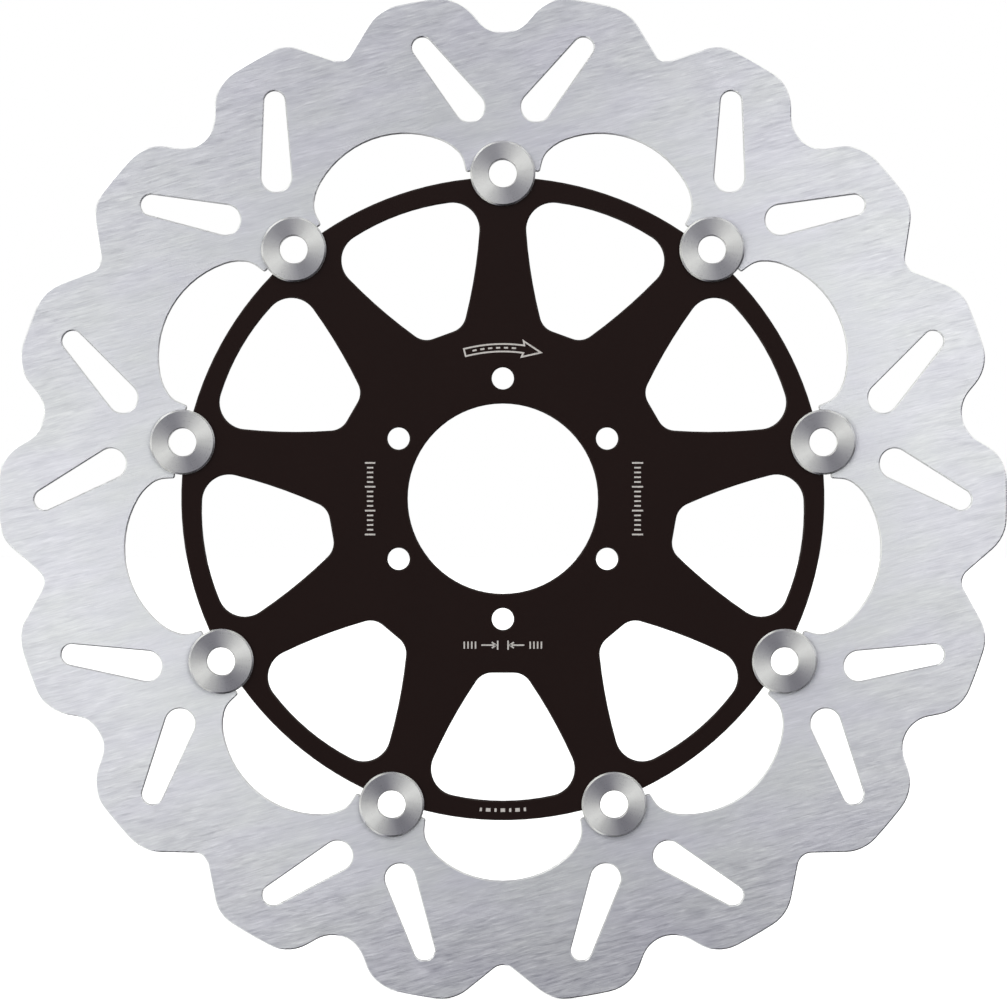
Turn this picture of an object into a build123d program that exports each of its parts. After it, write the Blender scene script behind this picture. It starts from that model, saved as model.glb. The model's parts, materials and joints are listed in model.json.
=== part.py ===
from build123d import *
from math import cos, radians, sin
import os

# Floating wave brake disc for the front wheel of a motorcycle.
#
# A steel brake ring with a wavy rim surrounds a flat aluminium carrier that bolts to the wheel hub.
# Nine hollow drive buttons sit half in notches of the ring and half in notches of the carrier. Each is
# held from behind by a flat washer, a wave spring and a circlip, so that the ring can float sideways
# and each button can turn.
#
# Frame: the disc turns about Y. The origin is on that axis, halfway through the ring. The outer side,
# with the button heads, faces -Y and the wheel hub lies towards +Y. One button is straight above the
# origin, towards +Z. All sizes are in millimetres and degrees.

# Brake ring
DISC_RADIUS = 155.0
RING_THICKNESS = 5.0
RING_EDGE = 0.35  # chamfer on every edge of both rubbing faces
STATION_COUNT = 9  # buttons, windows, scallops and pairs of slots
STATION_ANGLE = 360 / STATION_COUNT

# Wave of the rim: a wide dip in line with each button and a narrow dip between buttons
DIP_FLOOR_RADIUS = 143.4
WIDE_DIP_ARC = 9.9
WIDE_DIP_FLANK = 49.5
NARROW_DIP_ARC = 4.4
NARROW_DIP_FLANK = 38.8
LOBE_CORNER_RADIUS = 12.8

# Tapered slots, a mirrored pair astride each button's ray
SLOT_INNER_END = (10.25, 120.55)
SLOT_INNER_RADIUS = 4.65
SLOT_OUTER_END = (24.75, 138.7)
SLOT_OUTER_RADIUS = 3.2

# Inner edge of the ring: nine tabs on one circle, with a scallop between each two
TAB_CIRCLE_RADIUS = 101.1
TAB_CORNER_RADIUS = 0.8
SCALLOP_TOP = 117.5
SCALLOP_ARCS = ((30.2, 40.5), (14.9, 24.3), (7.3, 32.0))  # radius and angle turned, from the middle
SCALLOP_WALL = 12.0  # straight end of the cutter, long enough to pass the tab circle

# Carrier
CARRIER_RADIUS = 98.85
RING_FLOAT = 0.2  # the ring slides this far each way along the axis
FLOAT_MARGIN = 0.05  # and this much is left at either end
CARRIER_THICKNESS = RING_THICKNESS + 2 * (RING_FLOAT + FLOAT_MARGIN)
CARRIER_EDGE = 0.4
HUB_BORE_RADIUS = 29.25
HUB_SEAT_RADIUS = 46.0
HUB_SEAT_RISE = 0.5  # the machined seat stands this far behind the rest of the back
BOLT_CIRCLE_RADIUS = 37.0
BOLT_COUNT = 6
BOLT_HOLE_RADIUS = 3.4

# Windows between the nine spokes, drawn astride their own ray
WINDOW_TOP = 92.9
WINDOW_SHOULDER = (24.9, 88.4)
WINDOW_TOE = (6.4, 53.5)
WINDOW_SIDE_ARC = 154.0
WINDOW_SHOULDER_RADIUS = 8.3
WINDOW_TOE_RADIUS = 5.9

# Drive buttons
BUTTON_CIRCLE_RADIUS = 100.0
BARREL_RADIUS = 6.0
BARREL_CLEARANCE = 0.05
BARREL_EDGE = 0.35
NOTCH_STRETCH = 0.3  # the ring's notches are this much deeper, so that the hot ring can grow
BUTTON_BORE_RADIUS = 4.3
BORE_EDGE = 0.25
HEAD_RADIUS = 10.0
HEAD_THICKNESS = 1.6
HEAD_EDGE = 0.55

# Flat washer, wave spring and circlip behind each button
WASHER_BORE_RADIUS = 6.15
WASHER_RADIUS = 9.5
WASHER_THICKNESS = 1.0
WASHER_EDGE = 0.15
SPRING_GAP = 1.0  # from the flat washer to the circlip
SPRING_BORE_RADIUS = 6.3
SPRING_RADIUS = 8.7
SPRING_THICKNESS = 0.4
SPRING_WAVES = 3
SPRING_SWING = 0.28  # the waves rise and fall this far from the middle
SPRING_POINTS_PER_WAVE = 12
GROOVE_RADIUS = 5.75
GROOVE_WIDTH = 1.1
CIRCLIP_THICKNESS = 1.0
CIRCLIP_BORE_RADIUS = 5.78
CIRCLIP_RADIUS = 7.5
CIRCLIP_OFFSET = 0.3  # the outer circle sits away from the gap, so the arms taper towards it
CIRCLIP_GAP = 2.4
LUG_CIRCLE_RADIUS = 7.1
LUG_ANGLE = 22.0
LUG_RADIUS = 1.45
LUG_HOLE_RADIUS = 0.8
BARREL_PROJECTION = 0.8  # of the barrel behind the circlip
ASSEMBLY_TURN = 137.5  # each button is left turned this much further than the one before it

# Places along Y
CARRIER_BACK = CARRIER_THICKNESS / 2
HEAD_FRONT = -CARRIER_BACK - HEAD_THICKNESS
WASHER_BACK = CARRIER_BACK + WASHER_THICKNESS
CIRCLIP_FRONT = WASHER_BACK + SPRING_GAP
CIRCLIP_BACK = CIRCLIP_FRONT + CIRCLIP_THICKNESS
GROOVE_FRONT = CIRCLIP_FRONT - (GROOVE_WIDTH - CIRCLIP_THICKNESS) / 2
BARREL_END = CIRCLIP_BACK + BARREL_PROJECTION

NEAR = 0.1  # a corner this close to a circle counts as on it
FRONTAL = Plane.XZ  # drawn as seen from the front: x is X, y is Z, and it faces -Y
TOP_BUTTON = Axis((0, 0, BUTTON_CIRCLE_RADIUS), (0, 1, 0))


def behind(depth):
    """Plane centred on the top button's axis, this far along Y, and facing the hub. Its y is Z."""
    return Plane(origin=(0, depth, BUTTON_CIRCLE_RADIUS), x_dir=(-1, 0, 0), z_dir=(0, 1, 0))


def at_buttons():
    """Locations that repeat a shape drawn at the top button at every button."""
    return PolarLocations(0, STATION_COUNT)


def between_buttons():
    """Locations that repeat a shape drawn astride the vertical on every ray between two buttons."""
    return PolarLocations(0, STATION_COUNT, start_angle=STATION_ANGLE / 2)


def rim_dip(floor_radius, flank_angle):
    """Cutter for one dip of the rim: a round floor between two straight flanks."""
    with BuildSketch() as dip:
        with BuildLine():
            floor = JernArc((0, DIP_FLOOR_RADIUS), (1, 0), floor_radius, flank_angle)
            flank = PolarLine(floor @ 1, 2 * LOBE_CORNER_RADIUS, direction=floor % 1)
            Line(flank @ 1, (0, (flank @ 1).Y))
            mirror(about=Plane.YZ)
        make_face()
    return dip.sketch


def slot_pair():
    """Two tapered slots that spread outwards, each with round ends joined by their tangents."""
    with BuildSketch() as slots:
        with Locations(SLOT_INNER_END):
            Circle(SLOT_INNER_RADIUS)
        with Locations(SLOT_OUTER_END):
            Circle(SLOT_OUTER_RADIUS)
        make_hull()
        mirror(about=Plane.YZ)
    return slots.sketch


def scallop():
    """Cutter for the bay between two tabs: arcs that tighten towards each tab, then a straight wall."""
    with BuildSketch() as bay:
        with BuildLine():
            start = Vector(0, SCALLOP_TOP)
            heading = Vector(1, 0)
            for radius, turned in SCALLOP_ARCS:
                arc = JernArc(start, heading, radius, -turned)
                start = arc @ 1
                heading = arc % 1
            wall = PolarLine(start, SCALLOP_WALL, direction=heading)
            Line(wall @ 1, (0, (wall @ 1).Y))
            mirror(about=Plane.YZ)
        make_face()
    return bay.sketch


def window():
    """Opening between two spokes: bowed top, bowed sides and a narrow flat foot, with round corners."""
    shoulder_x, shoulder_z = WINDOW_SHOULDER
    toe_x, toe_z = WINDOW_TOE
    with BuildSketch() as opening:
        with BuildLine():
            RadiusArc(WINDOW_SHOULDER, WINDOW_TOE, WINDOW_SIDE_ARC)
            mirror(about=Plane.YZ)
            ThreePointArc((-shoulder_x, shoulder_z), (0, WINDOW_TOP), (shoulder_x, shoulder_z))
            Line((-toe_x, toe_z), (toe_x, toe_z))
        make_face()
        fillet(opening.vertices().group_by(Axis.Y)[-1], WINDOW_SHOULDER_RADIUS)
        fillet(opening.vertices().group_by(Axis.Y)[0], WINDOW_TOE_RADIUS)
    return opening.sketch


def notch(stretch):
    """Round notch for a button's barrel, made deeper outwards by the stretch."""
    with BuildSketch() as seat:
        with Locations((0, BUTTON_CIRCLE_RADIUS), (0, BUTTON_CIRCLE_RADIUS + stretch)):
            Circle(BARREL_RADIUS + BARREL_CLEARANCE)
        make_hull()
    return seat.sketch


def spring_edge(radius, level):
    """Closed wavy edge of the wave spring, around the top button's axis."""
    points = []
    count = SPRING_WAVES * SPRING_POINTS_PER_WAVE
    for step in range(count):
        angle = radians(360 * step / count)
        rise = SPRING_SWING * cos(SPRING_WAVES * angle)
        points.append(Vector(radius * cos(angle), level + rise, BUTTON_CIRCLE_RADIUS + radius * sin(angle)))
    return Edge.make_spline(points, periodic=True)


def export(piece, label):
    """Name a piece and write it as its own file."""
    piece.label = label
    export_step(piece, f"parts/{label}.step")


def export_at_buttons(piece, label):
    """Write a piece made at the top button once per button, numbered clockwise as seen from the front."""
    for station in range(STATION_COUNT):
        turned = piece.rotate(TOP_BUTTON, ASSEMBLY_TURN * station)
        placed = turned.rotate(Axis.Y, STATION_ANGLE * station)
        export(placed, f"{label}_{station + 1}")


# Brake ring: wavy rim, slots, scallops and notches, all cut straight through one flat plate
with BuildPart() as brake_ring:
    with BuildSketch(FRONTAL) as ring_outline:
        Circle(DISC_RADIUS)
        with at_buttons():
            add(rim_dip(WIDE_DIP_ARC, WIDE_DIP_FLANK), mode=Mode.SUBTRACT)
        with between_buttons():
            add(rim_dip(NARROW_DIP_ARC, NARROW_DIP_FLANK), mode=Mode.SUBTRACT)
        lobe_corners = ring_outline.vertices().filter_by(
            lambda corner: Vector(corner).length > DISC_RADIUS - NEAR
        )
        fillet(lobe_corners, LOBE_CORNER_RADIUS)
        Circle(TAB_CIRCLE_RADIUS, mode=Mode.SUBTRACT)
        with between_buttons():
            add(scallop(), mode=Mode.SUBTRACT)
        tab_corners = ring_outline.vertices().filter_by(
            lambda corner: Vector(corner).length < TAB_CIRCLE_RADIUS + NEAR
        )
        fillet(tab_corners, TAB_CORNER_RADIUS)
        with at_buttons():
            add(slot_pair(), mode=Mode.SUBTRACT)
            add(notch(NOTCH_STRETCH), mode=Mode.SUBTRACT)
    extrude(amount=RING_THICKNESS / 2, both=True)
    rubbing_faces = brake_ring.faces().filter_by(Axis.Y)
    chamfer(rubbing_faces.edges(), RING_EDGE)

# Hub carrier: nine spokes between a bolted centre and a thin outer band, with a raised seat behind
with BuildPart() as hub_carrier:
    with BuildSketch(FRONTAL):
        Circle(CARRIER_RADIUS)
        with between_buttons():
            add(window(), mode=Mode.SUBTRACT)
        with at_buttons():
            add(notch(0), mode=Mode.SUBTRACT)
    extrude(amount=CARRIER_THICKNESS / 2, both=True)
    with BuildSketch(FRONTAL):
        Circle(HUB_SEAT_RADIUS)
    extrude(amount=-CARRIER_BACK - HUB_SEAT_RISE)
    with BuildSketch(FRONTAL):
        Circle(HUB_BORE_RADIUS)
        with PolarLocations(BOLT_CIRCLE_RADIUS, BOLT_COUNT, start_angle=90):
            Circle(BOLT_HOLE_RADIUS)
    extrude(amount=CARRIER_THICKNESS, both=True, mode=Mode.SUBTRACT)
    front, back, seat = hub_carrier.faces().filter_by(Axis.Y).sort_by(Axis.Y)
    back_outline = back.edges().filter_by(lambda edge: edge.center().length > HUB_SEAT_RADIUS + NEAR)
    chamfer(front.edges() + back_outline + seat.edges(), CARRIER_EDGE)

# Drive button: a hollow rivet with a flat head and a groove for its circlip
with BuildPart() as drive_button:
    with BuildSketch(Plane.XY.offset(BUTTON_CIRCLE_RADIUS)):
        with BuildLine():
            Polyline(
                (BUTTON_BORE_RADIUS, HEAD_FRONT + BORE_EDGE),
                (BUTTON_BORE_RADIUS + BORE_EDGE, HEAD_FRONT),
                (HEAD_RADIUS - HEAD_EDGE, HEAD_FRONT),
                (HEAD_RADIUS, HEAD_FRONT + HEAD_EDGE),
                (HEAD_RADIUS, -CARRIER_BACK),
                (BARREL_RADIUS, -CARRIER_BACK),
                (BARREL_RADIUS, GROOVE_FRONT),
                (GROOVE_RADIUS, GROOVE_FRONT),
                (GROOVE_RADIUS, GROOVE_FRONT + GROOVE_WIDTH),
                (BARREL_RADIUS, GROOVE_FRONT + GROOVE_WIDTH),
                (BARREL_RADIUS, BARREL_END - BARREL_EDGE),
                (BARREL_RADIUS - BARREL_EDGE, BARREL_END),
                (BUTTON_BORE_RADIUS + BORE_EDGE, BARREL_END),
                (BUTTON_BORE_RADIUS, BARREL_END - BORE_EDGE),
                close=True,
            )
        make_face()
    revolve(axis=TOP_BUTTON)

# Flat washer: lies on the back of the carrier and keeps the ring's tab in place
with BuildPart() as flat_washer:
    with BuildSketch(behind(CARRIER_BACK)):
        Circle(WASHER_RADIUS)
        Circle(WASHER_BORE_RADIUS, mode=Mode.SUBTRACT)
    extrude(amount=WASHER_THICKNESS)
    chamfer(flat_washer.faces().filter_by(Axis.Y).edges(), WASHER_EDGE)

# Wave spring: a thin ring that rises and falls three times between the flat washer and the circlip
with BuildPart() as wave_spring:
    middle = WASHER_BACK + SPRING_GAP / 2
    inner_front = spring_edge(SPRING_BORE_RADIUS, middle - SPRING_THICKNESS / 2)
    outer_front = spring_edge(SPRING_RADIUS, middle - SPRING_THICKNESS / 2)
    inner_back = spring_edge(SPRING_BORE_RADIUS, middle + SPRING_THICKNESS / 2)
    outer_back = spring_edge(SPRING_RADIUS, middle + SPRING_THICKNESS / 2)
    sides = [
        Face.make_surface_from_curves(inner_front, outer_front),
        Face.make_surface_from_curves(inner_back, outer_back),
        Face.make_surface_from_curves(inner_front, inner_back),
        Face.make_surface_from_curves(outer_front, outer_back),
    ]
    add(Solid(Shell(sides)))

# Circlip: a tapering open ring with two drilled lugs, snapped into the barrel's groove
with BuildPart() as circlip:
    lug_centres = PolarLocations(LUG_CIRCLE_RADIUS, 2, 90 - LUG_ANGLE, 2 * LUG_ANGLE, endpoint=True)
    with BuildSketch(behind(CIRCLIP_FRONT)):
        with Locations((0, -CIRCLIP_OFFSET)):
            Circle(CIRCLIP_RADIUS)
        with lug_centres:
            Circle(LUG_RADIUS)
        Circle(CIRCLIP_BORE_RADIUS, mode=Mode.SUBTRACT)
        with Locations((0, CIRCLIP_RADIUS)):
            Rectangle(CIRCLIP_GAP, CIRCLIP_RADIUS, mode=Mode.SUBTRACT)
        with lug_centres:
            Circle(LUG_HOLE_RADIUS, mode=Mode.SUBTRACT)
    extrude(amount=CIRCLIP_THICKNESS)

os.makedirs("parts", exist_ok=True)
export(brake_ring.part, "brake_ring")
export(hub_carrier.part, "hub_carrier")
export_at_buttons(drive_button.part, "drive_button")
export_at_buttons(flat_washer.part, "flat_washer")
export_at_buttons(wave_spring.part, "wave_spring")
export_at_buttons(circlip.part, "circlip")
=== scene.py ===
import json
from math import ceil, cos, pi, radians, sin

import bmesh
import bpy
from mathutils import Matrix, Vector


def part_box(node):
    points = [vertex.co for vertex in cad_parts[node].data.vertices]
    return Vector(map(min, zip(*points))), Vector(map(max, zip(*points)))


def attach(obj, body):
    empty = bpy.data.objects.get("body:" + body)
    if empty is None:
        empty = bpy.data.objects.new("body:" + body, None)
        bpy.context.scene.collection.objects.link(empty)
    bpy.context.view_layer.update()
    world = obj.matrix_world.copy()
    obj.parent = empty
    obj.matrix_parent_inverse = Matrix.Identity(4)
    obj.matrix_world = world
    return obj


# Looks of the floating wave brake disc. Metres, in the frame of the CAD: the disc turns about Y, its
# outer side faces -Y and a drive button is straight above the origin. Angles and turns are in degrees,
# apart from anisotropic rotations, which are shares of a whole turn.

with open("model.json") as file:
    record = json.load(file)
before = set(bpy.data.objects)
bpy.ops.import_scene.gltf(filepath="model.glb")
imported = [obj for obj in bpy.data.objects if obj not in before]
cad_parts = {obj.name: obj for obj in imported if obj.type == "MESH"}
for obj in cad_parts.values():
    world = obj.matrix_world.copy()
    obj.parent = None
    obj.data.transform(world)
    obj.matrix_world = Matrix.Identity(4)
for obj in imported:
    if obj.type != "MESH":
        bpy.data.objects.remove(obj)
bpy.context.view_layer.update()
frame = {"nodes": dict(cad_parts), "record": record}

MM = 0.001
MOUNTS = {mount["name"]: mount for mount in frame["record"]["mounts"]}
DISC_CENTRE = Vector(MOUNTS["hub_bore"]["pos_m"])
RING_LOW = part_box("brake_ring")[0]
CARRIER_LOW, CARRIER_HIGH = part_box("hub_carrier")
RING_FRONT = RING_LOW.y
CARRIER_FRONT = CARRIER_LOW.y
CARRIER_RADIUS = CARRIER_HIGH.x
FLOOR_LEVEL = RING_LOW.z


# ---------------------------------------------------------------------------------------------------
# Camera: straight in front, far away behind a long lens

VIEW_WIDTH = 0.3095
CAMERA_DISTANCE = 4.0
CAMERA_AIM = (0.0002, -0.0004)  # x and z, from the disc's centre
SENSOR_WIDTH = 36.0
NEAR_CLIP, FAR_CLIP = 0.1, 60.0


def add_camera():
    data = bpy.data.cameras.new("camera")
    data.sensor_width = SENSOR_WIDTH
    data.lens = SENSOR_WIDTH * CAMERA_DISTANCE / VIEW_WIDTH
    data.clip_start = NEAR_CLIP
    data.clip_end = FAR_CLIP
    camera = bpy.data.objects.new("camera", data)
    camera.location = (
        DISC_CENTRE.x + CAMERA_AIM[0],
        RING_FRONT - CAMERA_DISTANCE,
        DISC_CENTRE.z + CAMERA_AIM[1],
    )
    camera.rotation_euler = (radians(90), 0, 0)
    bpy.context.scene.collection.objects.link(camera)
    bpy.context.scene.camera = camera


# ---------------------------------------------------------------------------------------------------
# Shader nodes

NOISE_RANGE = (0.3, 0.7)  # most of a noise's values lie in here

# How far a surface's normal points along Y, where it stops being a wall and where it starts to be flat
WALL_FACING = (0.1, 0.3)
FLAT_FACING = (0.9, 0.98)


def add(tree, kind, inputs=None, **settings):
    """Adds a node. An input's value is a number, a colour or another node's output."""
    node = tree.nodes.new("ShaderNode" + kind)
    for name, value in settings.items():
        setattr(node, name, value)
    for name, value in (inputs or {}).items():
        if isinstance(value, bpy.types.NodeSocket):
            tree.links.new(value, node.inputs[name])
        else:
            node.inputs[name].default_value = value
    return node


def maths(tree, operation, first, second=0.0):
    return add(tree, "Math", {0: first, 1: second}, operation=operation).outputs[0]


def weighted(tree, *pairs):
    """Sum of values, each times its weight."""
    total = maths(tree, "MULTIPLY", *pairs[0])
    for value, weight in pairs[1:]:
        total = maths(tree, "ADD", total, maths(tree, "MULTIPLY", value, weight))
    return total


def vector_maths(tree, operation, first, second=(0.0, 0.0, 0.0)):
    """The result as a vector."""
    return add(tree, "VectorMath", {0: first, 1: second}, operation=operation).outputs["Vector"]


def vector_measure(tree, operation, first, second=(0.0, 0.0, 0.0)):
    """The result as a number: a length or a dot product."""
    return add(tree, "VectorMath", {0: first, 1: second}, operation=operation).outputs["Value"]


def remap(tree, value, low, high, out_low=0.0, out_high=1.0, smooth=False):
    inputs = {"Value": value, "From Min": low, "From Max": high, "To Min": out_low, "To Max": out_high}
    kind = "SMOOTHSTEP" if smooth else "LINEAR"
    return add(tree, "MapRange", inputs, interpolation_type=kind).outputs["Result"]


def mix(tree, share, first, second, blend="MIX"):
    """Mixes two colours, or two numbers that are taken as greys."""
    node = tree.nodes.new("ShaderNodeMix")
    node.data_type = "RGBA"
    node.blend_type = blend
    for index, value in ((0, share), (6, first), (7, second)):
        if isinstance(value, bpy.types.NodeSocket):
            tree.links.new(value, node.inputs[index])
        else:
            node.inputs[index].default_value = value
    return node.outputs[2]


def noise(tree, place, scale, detail=2.0, roughness=0.5):
    inputs = {"Vector": place, "Scale": scale, "Detail": detail, "Roughness": roughness}
    return add(tree, "TexNoise", inputs).outputs["Fac"]


def line_noise(tree, distance):
    """Noise along a line, for the tracks that a lathe tool leaves."""
    inputs = {"W": distance, "Scale": 1.0, "Detail": 2.0}
    return add(tree, "TexNoise", inputs, noise_dimensions="1D").outputs["Fac"]


def grain_noise(tree, place, turn, grain, detail=2.0, roughness=0.5):
    """Noise with grain of this size along each axis, all turned about Y, as brushing leaves it."""
    inputs = {"Vector": place, "Angle": radians(turn)}
    turned = add(tree, "VectorRotate", inputs, rotation_type="Y_AXIS").outputs[0]
    return noise(tree, vector_maths(tree, "DIVIDE", turned, grain), 1.0, detail, roughness)


def object_place(tree):
    return add(tree, "TexCoord").outputs["Object"]


def face_masks(tree):
    """Two masks: the walls, which face across Y, and the chamfers and rounded edges."""
    normal = add(tree, "NewGeometry").outputs["True Normal"]
    along = maths(tree, "ABSOLUTE", add(tree, "SeparateXYZ", {0: normal}).outputs["Y"])
    flat = remap(tree, along, *FLAT_FACING)
    wall = remap(tree, along, *WALL_FACING, 1.0, 0.0)
    chamfer = maths(tree, "SUBTRACT", maths(tree, "SUBTRACT", 1.0, flat), wall)
    return wall, chamfer


def new_material(name):
    material = bpy.data.materials.new(name)
    material.use_nodes = True
    material.node_tree.nodes.clear()
    return material, material.node_tree


def finish_material(tree, shader):
    add(tree, "OutputMaterial", {"Surface": shader})


def grey(value):
    return (value, value, value, 1)


# ---------------------------------------------------------------------------------------------------
# Ring

BRUSH_TURN = 14.0  # the straight brushing rises this much towards the right
FINE_TURN = BRUSH_TURN + 1.5
SCRATCH_TURN = BRUSH_TURN + 2.0
BROAD_TURN = BRUSH_TURN - 1.0

# Sizes of grain: along the brushing, through the ring and across the brushing
BRUSH_GRAIN = (5.4 * MM, 5.4 * MM, 0.70 * MM)
FINE_GRAIN = (9.0 * MM, 9.0 * MM, 0.36 * MM)
SCRATCH_GRAIN = (4.0 * MM, 4.0 * MM, 0.40 * MM)
BROAD_GRAIN = (26.0 * MM, 26.0 * MM, 3.2 * MM)
CLOUD_GRAIN = (30.0 * MM, 30.0 * MM, 14.0 * MM)
CUT_GRAIN = (0.3 * MM, 6.0 * MM, 0.3 * MM)  # on the cut walls, drawn out through the ring

DRIFT_SCALE = 70.0
DRIFT = (0.0, 0.0, 1.3 * MM)  # how far the streaks wander up and down

# From darkest to lightest
STEEL_COLOURS = ((0.61, 0.62, 0.665, 1), (0.915, 0.92, 0.945, 1))
CUT_COLOURS = ((0.30, 0.305, 0.32, 1), (0.46, 0.465, 0.475, 1))
# Painted highlight: the ring's chamfers are painted paler than the steel
CHAMFER_HIGHLIGHT_COLOUR = (0.92, 0.925, 0.935, 1)
TINTS = ((0.99, 0.983, 1.012, 1), (1.0, 1.006, 0.992, 1))  # a breath of violet and of green

BRUSH_NOISE, BRUSH_TONE = (0.32, 0.68), (0.14, 0.71)
TINT_NOISE = (0.35, 0.65)
SCRATCH_NOISE = (0.56, 0.76)  # where a scratch starts and where it is at its strongest
SCRATCH_TONE, SCRATCH_ROUGHNESS = 0.28, 0.11

RING_ROUGHNESS = (0.40, 0.60)
CHAMFER_SMOOTHNESS = 0.2
SMOOTHING_RADII = (108.0 * MM, 145.0 * MM)  # from the first to the second the steel gets smoother
ROUGHNESS_BY_RADIUS = (0.12, -0.04)
BRUSH_DEPTH = 0.12 * MM
CUT_DEPTH_SHARE = 0.1

QUARTER_TURN = 0.25  # anisotropic rotation that spreads gloss across the circles of grinding or turning


def ring_roughness(tree, place, grain, scratch, chamfer):
    rough = remap(tree, grain, *NOISE_RANGE, *RING_ROUGHNESS)
    rough = maths(tree, "ADD", rough, maths(tree, "MULTIPLY", scratch, SCRATCH_ROUGHNESS))
    rough = maths(tree, "SUBTRACT", rough, maths(tree, "MULTIPLY", chamfer, CHAMFER_SMOOTHNESS))
    flat_place = vector_maths(tree, "MULTIPLY", place, (1, 0, 1))
    radius = vector_measure(tree, "LENGTH", flat_place)
    by_radius = remap(tree, radius, *SMOOTHING_RADII, *ROUGHNESS_BY_RADIUS, smooth=True)
    return maths(tree, "ADD", rough, by_radius)


def ring_steel():
    """Stainless steel, ground in circles and finished with straight brushing; the cut walls are duller,
    and the chamfers are paler as a painted highlight.
    """
    material, tree = new_material("ring_steel")
    place = object_place(tree)
    wall, chamfer = face_masks(tree)

    drift_inputs = {"Vector": place, "Scale": DRIFT_SCALE, "Detail": 1.0}
    drift = add(tree, "TexNoise", drift_inputs).outputs["Color"]
    wavy = vector_maths(tree, "ADD", place, vector_maths(tree, "MULTIPLY", drift, DRIFT))
    streaks = grain_noise(tree, wavy, BRUSH_TURN, BRUSH_GRAIN, roughness=0.55)
    fine = grain_noise(tree, wavy, FINE_TURN, FINE_GRAIN, detail=1.0)
    broad = grain_noise(tree, wavy, BROAD_TURN, BROAD_GRAIN)
    scratch = grain_noise(tree, wavy, SCRATCH_TURN, SCRATCH_GRAIN, detail=1.0)
    scratch = remap(tree, scratch, *SCRATCH_NOISE)
    cloud = grain_noise(tree, place, BRUSH_TURN, CLOUD_GRAIN)
    cut = grain_noise(tree, place, 0.0, CUT_GRAIN, detail=3.0)

    grain = weighted(tree, (streaks, 0.6), (fine, 0.4))
    tone = remap(tree, weighted(tree, (grain, 0.75), (broad, 0.25)), *BRUSH_NOISE, *BRUSH_TONE)
    tone = maths(tree, "ADD", tone, maths(tree, "MULTIPLY", scratch, SCRATCH_TONE))
    brushed = mix(tree, tone, *STEEL_COLOURS)
    tint = mix(tree, remap(tree, cloud, *TINT_NOISE), *TINTS)
    brushed = mix(tree, 1.0, brushed, tint, "MULTIPLY")
    colour = mix(tree, wall, brushed, mix(tree, cut, *CUT_COLOURS))
    # painted highlight: the chamfers are mixed towards a pale colour
    colour = mix(tree, chamfer, colour, CHAMFER_HIGHLIGHT_COLOUR)

    height = mix(tree, wall, grain, maths(tree, "MULTIPLY", cut, CUT_DEPTH_SHARE))
    bump = add(tree, "Bump", {"Strength": 0.5, "Distance": BRUSH_DEPTH, "Height": height})
    tangent = add(tree, "Tangent", direction_type="RADIAL", axis="Y")
    shader = add(tree, "BsdfPrincipled", {
        "Base Color": colour,
        "Metallic": 1.0,
        "Roughness": ring_roughness(tree, place, grain, scratch, chamfer),
        "Anisotropic": 0.62,
        "Anisotropic Rotation": QUARTER_TURN,
        "Tangent": tangent.outputs[0],
        "Normal": bump.outputs[0],
    })
    finish_material(tree, shader.outputs[0])
    return material


# ---------------------------------------------------------------------------------------------------
# Carrier and its etched marks

ANODISED_COLOURS = ((0.0082, 0.0022, 0.0016, 1), (0.0100, 0.0030, 0.0023, 1))
# Painted highlight on the chamfers, broken into patches like worn edges
WORN_EDGE_HIGHLIGHT_COLOUR = (0.045, 0.036, 0.032, 1)
ANODISED_SCALE, BLASTED_SCALE, WORN_HIGHLIGHT_SCALE = 45.0, 2600.0, 260.0
WORN_HIGHLIGHT_NOISE, WORN_HIGHLIGHT_SHARE = (0.35, 0.75), (0.1, 0.9)
CARRIER_ROUGHNESS = (0.42, 0.56)
BLASTED_DEPTH = 0.03 * MM

ETCHED_COLOURS = ((0.42, 0.39, 0.37, 1), (0.66, 0.63, 0.61, 1))
ETCHED_ROUGHNESS = (0.6, 0.75)
ETCHED_SCALE = 5200.0


def carrier_black():
    """Black hard-anodised aluminium: fine blasted grain, and chamfers painted a little paler, a painted
    highlight broken into patches like wear.
    """
    material, tree = new_material("carrier_black")
    place = object_place(tree)
    chamfer = face_masks(tree)[1]
    grain = noise(tree, place, BLASTED_SCALE)
    base = mix(tree, noise(tree, place, ANODISED_SCALE, detail=3.0), *ANODISED_COLOURS)
    worn_highlight = remap(tree, noise(tree, place, WORN_HIGHLIGHT_SCALE, detail=4.0), *WORN_HIGHLIGHT_NOISE, *WORN_HIGHLIGHT_SHARE)
    bump = add(tree, "Bump", {"Strength": 0.15, "Distance": BLASTED_DEPTH, "Height": grain})
    shader = add(tree, "BsdfPrincipled", {
        # paler chamfers: painted highlight, patchy like wear
        "Base Color": mix(tree, maths(tree, "MULTIPLY", chamfer, worn_highlight), base, WORN_EDGE_HIGHLIGHT_COLOUR),
        "Roughness": remap(tree, grain, *NOISE_RANGE, *CARRIER_ROUGHNESS),
        "Specular IOR Level": 0.12,
        "Normal": bump.outputs[0],
    })
    finish_material(tree, shader.outputs[0])
    return material


def etched_grey():
    """Laser marking: the anodising is burned to a pale matt grey."""
    material, tree = new_material("etched_mark")
    speckle = noise(tree, object_place(tree), ETCHED_SCALE)
    shader = add(tree, "BsdfPrincipled", {
        "Base Color": mix(tree, remap(tree, speckle, *NOISE_RANGE), *ETCHED_COLOURS),
        "Metallic": 0.2,
        "Roughness": remap(tree, speckle, *NOISE_RANGE, *ETCHED_ROUGHNESS),
    })
    finish_material(tree, shader.outputs[0])
    return material


# ---------------------------------------------------------------------------------------------------
# Hardware: buttons, washers, springs and circlips

TOOL_LINE = 0.12 * MM  # width of a lathe tool's track
TOOL_DEPTH = 0.01 * MM
SPECKLE_SCALE = 1800.0
RAY_SCALE = 5.0
EDGE_SMOOTHNESS = 0.1

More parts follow.
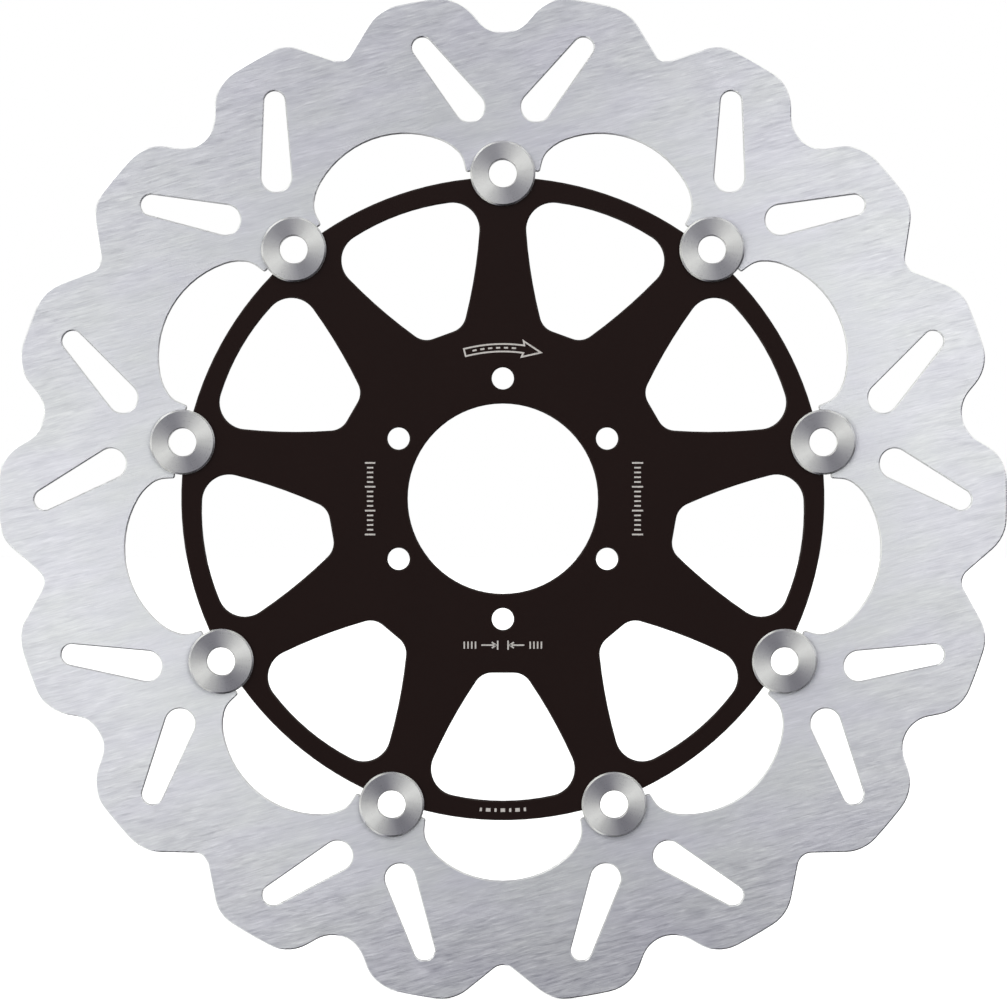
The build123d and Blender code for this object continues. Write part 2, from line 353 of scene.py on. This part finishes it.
BUTTON_SIZE, WASHER_SIZE, SPRING_SIZE, CIRCLIP_SIZE = 20.0 * MM, 19.0 * MM, 17.4 * MM, 16.0 * MM
BUTTON_COLOURS = (grey(0.61), grey(0.72))
WASHER_COLOURS = ((0.52, 0.52, 0.50, 1), (0.68, 0.68, 0.66, 1))
SPRING_COLOURS = ((0.34, 0.33, 0.31, 1), (0.50, 0.49, 0.46, 1))
CIRCLIP_COLOURS = ((0.035, 0.035, 0.04, 1), (0.07, 0.07, 0.078, 1))
BUTTON_ROTATION = 0.189  # a little less than a quarter turn, which turns the bright fans on the heads


def turned_steel(name, size, colours, roughness, anisotropic, rotation=QUARTER_TURN):
    """A part of this size, turned on a lathe: fine rings about its own axis, the middle of its box."""
    material, tree = new_material(name)
    coordinates = add(tree, "TexCoord").outputs
    wall, chamfer = face_masks(tree)

    middle = vector_maths(tree, "SUBTRACT", coordinates["Generated"], (0.5, 0.5, 0.5))
    sized = vector_maths(tree, "MULTIPLY", middle, (size, 0.0, size))
    radius = vector_measure(tree, "LENGTH", sized)
    height = add(tree, "SeparateXYZ", {0: coordinates["Object"]}).outputs["Y"]
    rings = line_noise(tree, maths(tree, "DIVIDE", radius, TOOL_LINE))
    bands = line_noise(tree, maths(tree, "DIVIDE", height, TOOL_LINE))
    lines = mix(tree, wall, rings, bands)
    speckle = noise(tree, coordinates["Object"], SPECKLE_SCALE)
    facing = vector_maths(tree, "NORMALIZE", sized)
    rays = noise(tree, facing, RAY_SCALE, detail=3.0, roughness=0.6)
    tone = weighted(tree, (lines, 0.5), (speckle, 0.2), (rays, 0.3))

    rough = remap(tree, tone, *NOISE_RANGE, *roughness)
    rough = maths(tree, "SUBTRACT", rough, maths(tree, "MULTIPLY", chamfer, EDGE_SMOOTHNESS))
    bump = add(tree, "Bump", {"Strength": 0.15, "Distance": TOOL_DEPTH, "Height": tone})
    tangent = add(tree, "Tangent", direction_type="RADIAL", axis="Y")
    shader = add(tree, "BsdfPrincipled", {
        "Base Color": mix(tree, remap(tree, tone, *NOISE_RANGE), *colours),
        "Metallic": 1.0,
        "Roughness": rough,
        "Anisotropic": anisotropic,
        "Anisotropic Rotation": rotation,
        "Tangent": tangent.outputs[0],
        "Normal": bump.outputs[0],
    })
    finish_material(tree, shader.outputs[0])
    return material


def dress_nodes():
    """Gives every CAD node its finish, which goes by the node's name without its number."""
    finishes = {
        "brake_ring": ring_steel(),
        "hub_carrier": carrier_black(),
        "drive_button": turned_steel(
            "button_steel", BUTTON_SIZE, BUTTON_COLOURS, (0.265, 0.315), 0.95, BUTTON_ROTATION
        ),
        "flat_washer": turned_steel("washer_steel", WASHER_SIZE, WASHER_COLOURS, (0.36, 0.5), 0.4),
        "wave_spring": turned_steel("spring_steel", SPRING_SIZE, SPRING_COLOURS, (0.22, 0.36), 0.5),
        "circlip": turned_steel("circlip_black", CIRCLIP_SIZE, CIRCLIP_COLOURS, (0.38, 0.55), 0.2),
    }
    for name, node in frame["nodes"].items():
        stem = name if name in finishes else name.rsplit("_", 1)[0]
        node.data.materials.clear()
        node.data.materials.append(finishes[stem])


# ---------------------------------------------------------------------------------------------------
# Etched marks: generic signs, each of strokes that lie on the front of the carrier

STROKE_SINK = 0.03 * MM
STROKE_RISE = 0.02 * MM
LINE = 0.5 * MM
THIN_LINE = 0.45 * MM
MITRE_LIMIT = 0.3  # a corner reaches out by at most half the line's width divided by this


def stroke(mesh, points, width, closed):
    """Adds one flat stroke of even width along points (x, z), as a closed solid with mitred corners."""
    count = len(points)
    rows = []
    for index, point in enumerate(points):
        before = points[index - 1] if closed or index > 0 else point
        after = points[(index + 1) % count] if closed or index < count - 1 else point
        into = (point - before).normalized() if point != before else (after - point).normalized()
        out = (after - point).normalized() if after != point else into
        side = Vector((-(into.y + out.y), into.x + out.x)).normalized()
        reach = width / 2 / max(MITRE_LIMIT, abs(side.dot(Vector((-into.y, into.x)))))
        row = []
        for sign, y in ((1, -STROKE_RISE), (1, STROKE_SINK), (-1, STROKE_SINK), (-1, -STROKE_RISE)):
            place = point + side * reach * sign
            row.append(mesh.verts.new((place.x, CARRIER_FRONT + y, place.y)))
        rows.append(row)
    for index in range(count if closed else count - 1):
        this, following = rows[index], rows[(index + 1) % count]
        for corner in range(4):
            other = (corner + 1) % 4
            mesh.faces.new((this[corner], this[other], following[other], following[corner]))
    if not closed:
        mesh.faces.new(rows[0][::-1])
        mesh.faces.new(rows[-1])


def add_mark(name, strokes, material):
    """Makes one etched mark that moves with the carrier. A stroke is (points, width, closed)."""
    mesh = bmesh.new()
    for points, width, closed in strokes:
        stroke(mesh, [Vector(point) for point in points], width, closed)
    bmesh.ops.recalc_face_normals(mesh, faces=mesh.faces)
    data = bpy.data.meshes.new(name)
    mesh.to_mesh(data)
    mesh.free()
    data.materials.append(material)
    piece = bpy.data.objects.new(name, data)
    bpy.context.scene.collection.objects.link(piece)
    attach(piece, "carrier")


def polar(radius, angle):
    """Point (x, z) at a radius, this many degrees clockwise from the top."""
    return (DISC_CENTRE.x + radius * sin(radians(angle)), DISC_CENTRE.z + radius * cos(radians(angle)))


def arc(radius, start, end, step=1.0):
    count = max(2, ceil(abs(end - start) / step))
    return [polar(radius, start + (end - start) * i / count) for i in range(count + 1)]


def rotation_arrow(material):
    """Outlined curved arrow above the bore, with a dashed line inside: the way the disc turns."""
    middle = 46.4 * MM
    half_shaft, half_head = 1.15 * MM, 2.45 * MM
    tail, neck, tip = -14.6, 8.0, 14.6
    barb = neck - 0.5
    dashes, pitch, dash = 6, 3.0, 1.6
    outline = arc(middle + half_shaft, tail, neck)
    outline += [polar(middle + half_head, barb), polar(middle, tip), polar(middle - half_head, barb)]
    outline += arc(middle - half_shaft, neck, tail)
    strokes = [(outline, LINE, True)]
    for number in range(1, dashes + 1):
        start = tail + pitch * number
        strokes.append((arc(middle, start, start + dash), LINE, False))
    add_mark("etched_rotation_arrow", strokes, material)


def edge_scale(name, x, long_tick, material):
    """Upright graduated scale: short ticks with a longer one at every fifth."""
    count, length = 16, 22.0 * MM
    short_tick = long_tick * 0.6
    strokes = []
    for tick in range(count):
        z = DISC_CENTRE.z - length / 2 + length * tick / (count - 1)
        reach = long_tick if tick % 5 == 0 else short_tick
        strokes.append(([(x - reach / 2, z), (x + reach / 2, z)], LINE, False))
    add_mark(name, strokes, material)


def thickness_sign(material):
    """Sign for a measured thickness: two arrows that meet a pair of lines, with plain bars beside them."""
    z = DISC_CENTRE.z - 45.0 * MM
    half_line, half_bar, half_barb = 1.4 * MM, 1.1 * MM, 0.9 * MM
    line_distance, gap, shaft, barb_length = 1.6 * MM, 0.5 * MM, 4.5 * MM, 1.3 * MM
    bars, first_bar, bar_pitch = 4, 8.4 * MM, 1.15 * MM
    strokes = []
    for side in (-1, 1):
        face = side * line_distance
        tip = face + side * gap
        barb = tip + side * barb_length
        strokes.append(([(face, z - half_line), (face, z + half_line)], THIN_LINE, False))
        strokes.append(([(tip, z), (tip + side * shaft, z)], THIN_LINE, False))
        strokes.append(([(barb, z + half_barb), (tip, z), (barb, z - half_barb)], THIN_LINE, False))
        for bar in range(bars):
            x = side * (first_bar + bar_pitch * bar)
            strokes.append(([(x, z - half_bar), (x, z + half_bar)], THIN_LINE, False))
    add_mark("etched_thickness_sign", strokes, material)


def rim_dashes(material):
    """Row of long and short dashes along the lowest part of the carrier's band."""
    radius = CARRIER_RADIUS - 3.1 * MM
    dashes, pitch, width = 7, 1.35, 1.1 * MM
    half_long, half_short = 0.42, 0.2
    strokes = []
    for dash in range(dashes):
        middle = 180 + (dash - dashes // 2) * pitch
        half = half_long if dash % 2 else half_short
        strokes.append((arc(radius, middle - half, middle + half, 0.3), width, False))
    add_mark("etched_rim_dashes", strokes, material)


def add_marks():
    material = etched_grey()
    rotation_arrow(material)
    edge_scale("etched_scale_right", 41.4 * MM, 3.4 * MM, material)
    edge_scale("etched_scale_left", -40.8 * MM, 3.2 * MM, material)
    thickness_sign(material)
    rim_dashes(material)


# ---------------------------------------------------------------------------------------------------
# Studio: white to the camera, lit by a long soft light on each side, one above and a panel

# Each rise or fade is a range of how far a direction points towards the light, or sideways
SIDE_LIGHT = 2.12
SIDE_LIGHT_TURN = 5.5  # the two side lights lie on a line that rises this much to the right
SIDE_LIGHT_HALF_WIDTH = 0.48
SIDE_LIGHT_SPILL = 0.42  # share of the light that is left beyond that width
SIDE_LIGHT_RISE = (0.13, 0.42)
SIDE_LIGHT_FADE = (0.62, 0.95)
FADED_SHARE = 0.52
TOP_LIGHT = 0.5
TOP_LIGHT_TURN = 27.0  # it stands this much to the left of straight above
TOP_LIGHT_RISE = (0.62, 0.94)
AMBIENT = 0.205
SHADE_RISE = (-0.82, -0.3)  # towards the upper left, so the lower right is dark
SHADED_SHARE = 0.08
COOL_AND_WARM = ((0.985, 0.97, 1.13, 1), (0.988, 0.996, 0.955, 1))  # weak light and strong light

PANEL_LIGHT = 0.75
PANEL_DISTANCE = 0.6
PANEL_SHIFT = 0.1  # to the left
PANEL_LOW, PANEL_HIGH = 0.24, 0.70
PANEL_WIDTH = 1.6

FLOOR_HALF_SIZE = 30.0
FLOOR_GLOW, FLOOR_GREY = 0.6, 0.85


def add_world():
    """White to the camera. As light: side lights, a top light and darkness from below right."""
    world = bpy.data.worlds.new("studio")
    world.use_nodes = True
    tree = world.node_tree
    tree.nodes.clear()
    direction = add(tree, "TexCoord").outputs["Generated"]

    def towards(x, z):
        return vector_measure(tree, "DOT_PRODUCT", direction, (x, 0, z))

    turn = radians(SIDE_LIGHT_TURN)
    sideways = maths(tree, "ABSOLUTE", towards(cos(turn), sin(turn)))
    across = maths(tree, "ABSOLUTE", towards(-sin(turn), cos(turn)))
    side = remap(tree, sideways, *SIDE_LIGHT_RISE, 0, SIDE_LIGHT, smooth=True)
    strip = remap(tree, across, 0, SIDE_LIGHT_HALF_WIDTH, 1, SIDE_LIGHT_SPILL, smooth=True)
    fade = remap(tree, sideways, *SIDE_LIGHT_FADE, 1, FADED_SHARE, smooth=True)
    side = maths(tree, "MULTIPLY", maths(tree, "MULTIPLY", side, strip), fade)

    lean = radians(TOP_LIGHT_TURN)
    above = towards(-sin(lean), cos(lean))
    top = remap(tree, above, *TOP_LIGHT_RISE, 0, TOP_LIGHT, smooth=True)
    upper_left = towards(-sin(pi / 4), cos(pi / 4))
    shade = remap(tree, upper_left, *SHADE_RISE, SHADED_SHARE, 1, smooth=True)
    light = maths(tree, "ADD", maths(tree, "ADD", side, top), AMBIENT)
    light = maths(tree, "MULTIPLY", light, shade)

    tint = mix(tree, remap(tree, light, AMBIENT, 1.0), *COOL_AND_WARM)
    lamp = add(tree, "Background", {"Color": tint, "Strength": light})
    seen = add(tree, "Background", {"Color": grey(1.0), "Strength": 1.0})
    camera_ray = add(tree, "LightPath").outputs["Is Camera Ray"]
    both = add(tree, "MixShader", {0: camera_ray, 1: lamp.outputs[0], 2: seen.outputs[0]})
    add(tree, "OutputWorld", {"Surface": both.outputs[0]})
    bpy.context.scene.world = world


def add_panel():
    """Soft light panel above the camera's line of sight, near the disc."""
    data = bpy.data.lights.new("panel", "AREA")
    data.shape = "RECTANGLE"
    data.size = PANEL_WIDTH
    data.size_y = PANEL_HIGH - PANEL_LOW
    data.energy = PANEL_LIGHT * pi * data.size * data.size_y
    panel = bpy.data.objects.new("panel", data)
    panel.location = (
        DISC_CENTRE.x - PANEL_SHIFT,
        RING_FRONT - PANEL_DISTANCE,
        (PANEL_LOW + PANEL_HIGH) / 2,
    )
    panel.rotation_euler = (radians(90), 0, 0)
    panel.visible_camera = False
    bpy.context.scene.collection.objects.link(panel)


def add_floor():
    """Plain white floor under the disc, left out of reflections and of the light on the disc."""
    data = bpy.data.meshes.new("floor")
    corners = [
        (x * FLOOR_HALF_SIZE, y * FLOOR_HALF_SIZE, FLOOR_LEVEL)
        for x, y in ((-1, -1), (1, -1), (1, 1), (-1, 1))
    ]
    data.from_pydata(corners, [], [(0, 1, 2, 3)])
    floor = bpy.data.objects.new("floor", data)
    bpy.context.scene.collection.objects.link(floor)
    material, tree = new_material("floor_white")
    glow = add(tree, "Emission", {"Color": grey(1.0), "Strength": FLOOR_GLOW})
    matt = add(tree, "BsdfDiffuse", {"Color": grey(FLOOR_GREY)})
    both = add(tree, "AddShader", {0: glow.outputs[0], 1: matt.outputs[0]})
    finish_material(tree, both.outputs[0])
    data.materials.append(material)
    floor.visible_glossy = False
    floor.visible_diffuse = False


add_camera()
add_world()
add_panel()
add_floor()
dress_nodes()
add_marks()
bpy.context.scene.view_settings.view_transform = "Standard"
